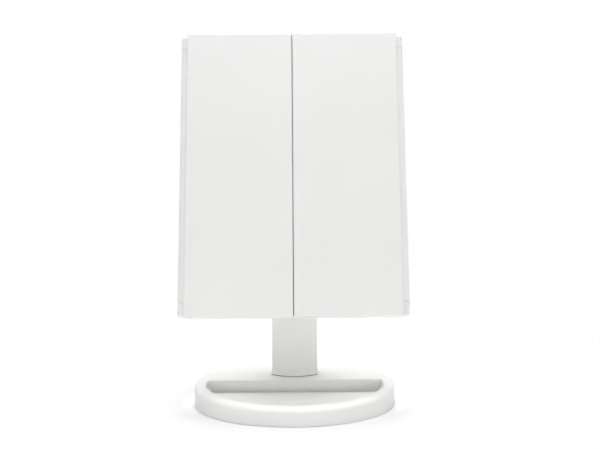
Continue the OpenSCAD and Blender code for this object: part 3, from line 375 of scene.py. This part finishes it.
# ------------------------------------------------------------------ base

# Millimetres, in the base's frame: x across, y back from its middle, z up from the table
BASE_W, BASE_D = 155, 114
DECK_FRONT, DECK_BACK = 12.5, 19.5
EDGE_R, FOOT_H, WALL = 3.0, 0.1, 2.0
INNER_EDGE_R, INNER_MOUTH_R = 1.6, 0.4
# The dish: width of the rim, height of its floor, its straight back wall and its rounded foot
RIM, TRAY_FLOOR, TRAY_BACK, TRAY_FOOT_R = 9.0, 6.7, 5.5, 7.0
TRAY_CORNER_R, MOUTH_R, TRAY_T = 1.4, 1.2, 1.6
# Height and inset of the small chamfer along the base's lower edge
CHAMFER = 0.25
# Points along the dish's oval, each of its corners and its straight line
ARC_N, CORNER_N, LINE_N = 150, 12, 60
# Rings over the rounded edge, the dish's mouth and the dish's foot
EDGE_STEPS, MOUTH_STEPS, FOOT_STEPS = 8, 6, 16


def deck_z(y):
    return DECK_FRONT + (DECK_BACK - DECK_FRONT) / BASE_D * (y + BASE_D / 2)


def oval_point(inset, t):
    return (BASE_W / 2 - inset) * math.cos(t), (BASE_D / 2 - inset) * math.sin(t)


def dish_ring(inset, line_y, corner_r):
    """Outline of the dish: the oval's front part, closed by a straight line with rounded ends."""
    half_w, half_d = BASE_W / 2 - inset, BASE_D / 2 - inset
    corner_y = line_y - corner_r
    t_end = math.asin(corner_y / half_d)
    ring = []
    for i in range(ARC_N):
        t = math.pi - t_end + (math.pi + 2 * t_end) * i / (ARC_N - 1)
        ring.append(oval_point(inset, t))
    side_x = half_w * math.cos(t_end)
    for i in range(1, CORNER_N + 1):
        a = math.pi / 2 * i / CORNER_N
        ring.append((side_x - corner_r + corner_r * math.cos(a), corner_y + corner_r * math.sin(a)))
    run = side_x - corner_r
    for i in range(1, LINE_N):
        ring.append((run - 2 * run * i / LINE_N, line_y))
    for i in range(CORNER_N):
        a = math.pi / 2 + math.pi / 2 * i / CORNER_N
        ring.append((corner_r - side_x + corner_r * math.cos(a), corner_y + corner_r * math.sin(a)))
    return ring


def oval_ring(inset):
    """The base's outline, with its points spread as the dish's are."""
    guide = dish_ring(RIM, TRAY_BACK, TRAY_CORNER_R)
    front = guide[:ARC_N]
    turns = [math.atan2(y / (BASE_D / 2 - RIM), x / (BASE_W / 2 - RIM)) for x, y in front]
    rest = len(guide) - ARC_N
    start = turns[-1]
    span = (math.pi - start) - start
    turns += [start + span * i / (rest + 1) for i in range(1, rest + 1)]
    return [oval_point(inset, t) for t in turns]


def base_skin(inset, grow, edge_r, mouth, foot_z):
    """Rings of the base's outer or inner skin: wall, rounded edge, deck, dish wall and dish floor.

    The skin lies by inset inside the base's wall and deck, and by grow outside the dish.
    """
    rings = [[(x, y, foot_z) for x, y in oval_ring(inset)]]
    for k in range(EDGE_STEPS + 1):
        a = math.pi / 2 * k / EDGE_STEPS
        ring = oval_ring(inset + edge_r * (1 - math.cos(a)))
        rings.append([(x, y, deck_z(y) - inset - edge_r * (1 - math.sin(a))) for x, y in ring])
    rings.append([(x, y, deck_z(y) - inset) for x, y in oval_ring(inset + edge_r + 0.25)])
    lip, line, corner_r = RIM - grow - mouth, TRAY_BACK + grow, TRAY_CORNER_R + grow
    for k in range(MOUTH_STEPS + 1):
        a = math.pi / 2 * k / MOUTH_STEPS
        ring = dish_ring(lip + mouth * math.sin(a), line + mouth * (1 - math.sin(a)), corner_r)
        rings.append([(x, y, deck_z(y) - inset - mouth * (1 - math.cos(a))) for x, y in ring])
    # the dish's side is a quarter ellipse, and its back wall stands straight
    floor_z, foot_r = TRAY_FLOOR - grow, TRAY_FOOT_R + grow
    top = dish_ring(RIM - grow, line, corner_r)
    for k in range(1, FOOT_STEPS + 1):
        a = math.pi / 2 * k / FOOT_STEPS
        ring = dish_ring(RIM - grow + foot_r * (1 - math.cos(a)), line, corner_r)
        placed = []
        for (x, y), (_, top_y) in zip(ring, top):
            height = deck_z(top_y) - inset - mouth - floor_z
            placed.append((x, y, floor_z + height * (1 - math.sin(a))))
        rings.append(placed)
    # the floor's last ring, drawn in a little towards a point in front of the back wall
    side_share, reach, back_gap = 0.98, 24, 0.4
    mid_y = line - reach
    floor_ring = []
    for x, y, z in rings[-1]:
        share = side_share if y < line - 0.01 else 1 - back_gap / reach
        floor_ring.append((x * side_share, mid_y + (y - mid_y) * share, z))
    rings.append(floor_ring)
    return rings


NECK_T, NECK_LEAN = 15.0, math.radians(17)
# Where the neck's middle meets the deck, behind the dish's back wall
NECK_ROOT_Y = TRAY_BACK + 7.7 + NECK_T / 2 / math.cos(NECK_LEAN)


def neck_outline(grow):
    """The neck's section: crowned front, flatter back, round sides. Points of x across and y back."""
    w, t, front_r, back_r, side_r = 36.4, NECK_T, 36.0, 60.0, 6.3
    side_x = w / 2 - side_r
    points, steps, halvings = [], 220, 40
    for i in range(steps):
        a = 2 * math.pi * i / steps
        dx, dy = math.cos(a), math.sin(a)
        low, high = 0.0, w
        # the outline's distance in this direction is narrowed down by halving
        for _ in range(halvings):
            mid = (low + high) / 2
            x, y = dx * mid, dy * mid
            inside = math.hypot(x, y - (front_r - t / 2)) < front_r + grow
            inside = inside and math.hypot(x, y + (back_r - t / 2)) < back_r + grow
            if abs(x) > side_x:
                inside = inside and math.hypot(abs(x) - side_x, y) < side_r + grow
            low, high = (mid, high) if inside else (low, mid)
        points.append((dx * low, dy * low))
    return points


def leg_ring(grow, height):
    """The neck's lower leg in the base's frame, cut where it reaches the height that a call gives for y."""
    ring = []
    for x, d in neck_outline(grow):
        # a point of the section, carried along the leg until it reaches the wanted height
        y0 = NECK_ROOT_Y + d * math.cos(NECK_LEAN)
        z0 = deck_z(NECK_ROOT_Y - NECK_T / 2) - d * math.sin(NECK_LEAN)
        y = y0
        for _ in range(4):
            y = y0 + (height(y) - z0) * math.tan(NECK_LEAN)
        ring.append((x, y, height(y)))
    return ring


def place_base(points):
    return [Vector((x, y + BASE_Y, z)) * MM for x, y, z in points]


def build_base():
    """The base's moulding as one closed shell, cut open for the neck."""
    outer = base_skin(0, 0, EDGE_R, MOUTH_R, FOOT_H + CHAMFER)
    inner = base_skin(WALL, TRAY_T, INNER_EDGE_R, INNER_MOUTH_R, FOOT_H)
    lower_edge = []
    for inset, rise in ((0.07, 0.07), (CHAMFER, 0)):
        lower_edge.append([(x, y, FOOT_H + rise) for x, y in oval_ring(inset)])
    rings = list(reversed(outer)) + lower_edge + inner
    verts, faces = bridge([place_base(r) for r in rings], capped=True)
    base = new_piece("base_moulding", verts, faces, WHITE, "base", sharp_deg=50)
    play, cut_low, cut_high = 0.15, 4.0, 30.0
    cutter_rings = [leg_ring(play, lambda y: cut_low), leg_ring(play, lambda y: cut_high)]
    cut_verts, cut_faces = bridge([place_base(r) for r in cutter_rings], capped=True)
    mesh = bpy.data.meshes.new("neck_cut")
    mesh.from_pydata([tuple(v) for v in cut_verts], [], cut_faces)
    cutter = bpy.data.objects.new("neck_cut", mesh)
    bpy.context.scene.collection.objects.link(cutter)
    mod = base.modifiers.new("opening", "BOOLEAN")
    mod.operation, mod.solver, mod.object = "DIFFERENCE", "EXACT", cutter
    graph = bpy.context.evaluated_depsgraph_get()
    cut = bpy.data.meshes.new_from_object(base.evaluated_get(graph))
    base.modifiers.clear()
    old = base.data
    base.data = cut
    bpy.data.meshes.remove(old)
    bpy.data.objects.remove(cutter)
    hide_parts("base_shell")


build_base()


def neck_collar(name, profile, mat):
    """A ring round the neck's foot, from pairs of distance from the neck and height over the deck."""
    loops = [leg_ring(grow, lambda y, h=height: deck_z(y) + h) for grow, height in profile]
    verts, faces = bridge([place_base(ring) for ring in loops])
    new_piece(name, verts, faces, mat, "base", sharp_deg=50)


def build_neck_foot():
    """The flared lip where the neck stands on the deck, over a thin dark ring that is painted shade for the
    contact line under the lip.
    """
    gap, lip_t, shade_ring_h, rise, reach, steps = 0.03, 0.03, 0.5, 1.8, 0.9, 5
    lip = []
    for k in range(steps + 1):
        a = math.pi / 2 * k / steps
        lip.append((gap + lip_t + reach * (1 - math.sin(a)), shade_ring_h + rise * (1 - math.cos(a))))
    lip += [(gap, shade_ring_h + rise), (gap, shade_ring_h)]
    neck_collar("neck_lip", lip, WHITE)
    # the dark ring is painted shade: it stands for the contact shadow at the neck's foot
    play, shade_ring_reach = 0.02, reach - 0.05
    low, high = play, shade_ring_h - play
    shade_ring = [(gap, low), (shade_ring_reach, low), (shade_ring_reach, high), (gap, high)]
    neck_collar("neck_foot_shade_ring", shade_ring, RUBBER)


build_neck_foot()

# ------------------------------------------------------------------ head


def head_bar(name, lo, hi, mat, body):
    """A straight bar between two corners in the head's frame."""
    loops = []
    for z in (lo[2], hi[2]):
        corners = [(lo[0], lo[1], z), (hi[0], lo[1], z), (hi[0], hi[1], z), (lo[0], hi[1], z)]
        loops.append(place_head(corners))
    verts, faces = bridge(loops, capped=True)
    new_piece(name, verts, faces, mat, body)


# dark strip along the left wing's closing side, painted shade which darkens the seam between the wings. It
# starts behind their rounded front edges and stops short of the right wing.
head_bar("seam_shade_strip", (-0.25, 1.5, 1.4), (0.12, 6.5, 222.6), RUBBER, "left_wing")

# ------------------------------------------------------------------ floor and light


def white_paper():
    """Studio paper that lights the object evenly, keeps its shadow, thinned round the base by painted
    light, and is white away from it.
    """
    s = Shader("studio_white")
    seen = s.seen()
    # an oval round the base, in which the paper as seen is lighter: painted light that thins the contact
    # shadow
    oval = s.add("ShaderNodeVectorMath", operation="MULTIPLY")
    oval.inputs[1].default_value = (1, BASE_W / BASE_D, 1)
    s.link(s.coords(), oval.inputs[0])
    reach = s.add("ShaderNodeVectorMath", operation="LENGTH")
    s.link(oval.outputs["Vector"], reach.inputs[0])
    away = s.fade(reach.outputs["Value"], 0.079, 0.091)
    seen_colour_with_painted_light = s.blend(away, (0.93, 0.92, 0.905), (0.795, 0.785, 0.77))
    # as seen the paper is darker than as a bounce, so that the shadow round the base isn't burnt out
    paper = s.add("ShaderNodeBsdfDiffuse")
    s.link(s.blend(seen, (0.86, 0.86, 0.86), seen_colour_with_painted_light), paper.inputs["Color"])
    # far from the object it turns to plain white
    length = s.add("ShaderNodeVectorMath", operation="LENGTH")
    s.link(s.coords(), length.inputs[0])
    lift = s.add("ShaderNodeMath", operation="MULTIPLY")
    s.link(seen, lift.inputs[0])
    s.link(s.fade(length.outputs["Value"], 0.14, 0.4), lift.inputs[1])
    white = s.add("ShaderNodeEmission", name="stage_white")
    total = s.add("ShaderNodeMixShader")
    s.link(lift.outputs[0], total.inputs["Fac"])
    s.link(paper.outputs[0], total.inputs[1])
    s.link(white.outputs[0], total.inputs[2])
    s.surface(total)
    return s.mat


def build_floor():
    """White floor that curves up into a backdrop."""
    mesh = bpy.data.meshes.new("floor")
    size, back, curve, top, steps = 3.0, 1.6, 0.5, 2.6, 12
    rows = [(-size, 0.0), (back - curve, 0.0)]
    for k in range(1, steps + 1):
        a = math.pi / 2 * k / steps
        rows.append((back - curve + curve * math.sin(a), curve - curve * math.cos(a)))
    rows.append((back, top))
    verts = [(x, y, z) for y, z in rows for x in (-size, size)]
    faces = [(2 * k, 2 * k + 1, 2 * k + 3, 2 * k + 2) for k in range(len(rows) - 1)]
    mesh.from_pydata(verts, [], faces)
    floor = bpy.data.objects.new("floor", mesh)
    bpy.context.scene.collection.objects.link(floor)
    for p in mesh.polygons:
        p.use_smooth = True
    mesh.materials.append(white_paper())


build_floor()

LAMP_TINT = (0.957, 0.976, 1.0)
# Name, place and target in metres, width and depth in metres, and power in watts
LAMPS = [
    ("top_box", (0.0, 0.0, 1.5), (0, 0, 0.1), (1.2, 0.5), 7.6),
    ("top_front", (0.0, -0.45, 1.5), (0, 0, 0.1), (1.2, 0.4), 2.0),
    ("top_back", (0.0, 0.5, 1.5), (0, 0, 0.1), (1.2, 0.5), 15.4),
    ("left_box", (-1.2, 0.0, 1.0), (0, 0, 0.15), (1.0, 1.0), 2.7),
    ("right_box", (1.2, 0.0, 1.0), (0, 0, 0.15), (1.0, 1.0), 4.1),
    ("back_box", (0.0, 1.1, 1.2), (0, 0, 0.1), (1.8, 1.0), 3.5),
    ("low_front", (0.0, -0.9, 0.08), (0, 0, 0.02), (0.9, 0.12), 2.2),
    ("near_top", (0.0, -0.15, 0.75), (0, -0.15, 0.1), (0.5, 0.2), 0.62),
    ("near_front", (0.0, -0.25, 0.55), (0, -0.05, 0.2), (0.6, 0.15), 0.30),
]


def area_lamp(name, place, target, size, power):
    data = bpy.data.lights.new(name, "AREA")
    data.shape, data.size, data.size_y = "RECTANGLE", size[0], size[1]
    data.energy, data.color = power, LAMP_TINT
    lamp = bpy.data.objects.new(name, data)
    lamp.location = place
    lamp.rotation_euler = (Vector(target) - Vector(place)).to_track_quat("-Z", "Y").to_euler()
    bpy.context.scene.collection.objects.link(lamp)


for lamp_row in LAMPS:
    area_lamp(*lamp_row)

EVEN_LIGHT = 0.12


def studio_world():
    """Even light from all round: white to the camera, a pale room in mirrors and gloss."""
    world = bpy.data.worlds.new("studio")
    bpy.context.scene.world = world
    world.use_nodes = True
    tree = world.node_tree
    tree.nodes.clear()
    out = tree.nodes.new("ShaderNodeOutputWorld")
    path = tree.nodes.new("ShaderNodeLightPath")
    shades = {}
    for name in ("lit", "pale", "white"):
        shades[name] = tree.nodes.new("ShaderNodeBackground")
        shades[name].name = name
        shades[name].inputs["Color"].default_value = (1, 1, 1, 1)
        shades[name].inputs["Strength"].default_value = 1.0
    shades["lit"].inputs["Color"].default_value = (*LAMP_TINT, 1)
    shades["lit"].inputs["Strength"].default_value = EVEN_LIGHT
    # the room that mirrors show is grey near the floor and white above
    place = tree.nodes.new("ShaderNodeTexCoord")
    split = tree.nodes.new("ShaderNodeSeparateXYZ")
    rise = tree.nodes.new("ShaderNodeMapRange")
    rise.interpolation_type = "SMOOTHSTEP"
    rise.inputs["From Min"].default_value, rise.inputs["From Max"].default_value = -0.15, 0.75
    rise.inputs["To Min"].default_value, rise.inputs["To Max"].default_value = 0.42, 1.0
    tree.links.new(place.outputs["Generated"], split.inputs[0])
    tree.links.new(split.outputs["Z"], rise.inputs["Value"])
    tree.links.new(rise.outputs["Result"], shades["pale"].inputs["Strength"])
    gloss = tree.nodes.new("ShaderNodeMath")
    gloss.operation = "MAXIMUM"
    tree.links.new(path.outputs["Is Glossy Ray"], gloss.inputs[0])
    tree.links.new(path.outputs["Is Transmission Ray"], gloss.inputs[1])
    mixes = [tree.nodes.new("ShaderNodeMixShader") for _ in range(2)]
    tree.links.new(gloss.outputs[0], mixes[0].inputs["Fac"])
    tree.links.new(shades["lit"].outputs[0], mixes[0].inputs[1])
    tree.links.new(shades["pale"].outputs[0], mixes[0].inputs[2])
    tree.links.new(path.outputs["Is Camera Ray"], mixes[1].inputs["Fac"])
    tree.links.new(mixes[0].outputs[0], mixes[1].inputs[1])
    tree.links.new(shades["white"].outputs[0], mixes[1].inputs[2])
    tree.links.new(mixes[1].outputs[0], out.inputs["Surface"])


studio_world()

bpy.context.scene.view_settings.view_transform = "Standard"
